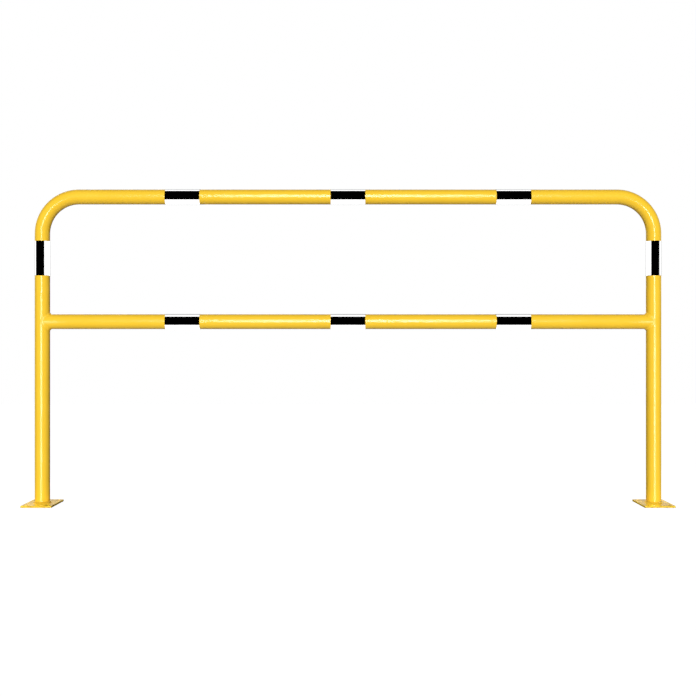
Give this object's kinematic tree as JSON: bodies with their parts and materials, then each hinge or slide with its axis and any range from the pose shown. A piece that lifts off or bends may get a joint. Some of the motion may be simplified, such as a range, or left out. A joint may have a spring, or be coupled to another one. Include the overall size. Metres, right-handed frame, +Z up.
{
  "type": "hoop guard rail",
  "caption": "Free-standing steel tube hoop with a mid rail and welded floor plates, powder coated yellow and ringed with black warning bands.",
  "frame": {"origin": "on the floor, midway between the two floor plates", "axes": "+X along the rails from the left leg to the right leg, +Z up, and the front of the guard faces -Y"},
  "size_m": [2.1, 0.15, 1.0308],
  "materials": {
    "tube_coat": "glossy yellow powder coat on steel tube",
    "plate_coat": "glossy yellow powder coat on steel plate",
    "weld_coat": "yellow powder coat over rippled weld bead",
    "band_film": "gloss black adhesive film"
  },
  "bodies": {
    "root": {"hoop_tube": "tube_coat", "mid_rail": "tube_coat", "base_plate_left": "plate_coat", "base_plate_right": "plate_coat", "base_weld_left": "weld_coat", "base_weld_right": "weld_coat", "rail_weld_left": "weld_coat", "rail_weld_right": "weld_coat", "leg_band_left": "band_film", "leg_band_right": "band_film", "top_band_left": "band_film", "top_band_centre": "band_film", "top_band_right": "band_film", "mid_band_left": "band_film", "mid_band_centre": "band_film", "mid_band_right": "band_film"}
  },
  "joints": []
}
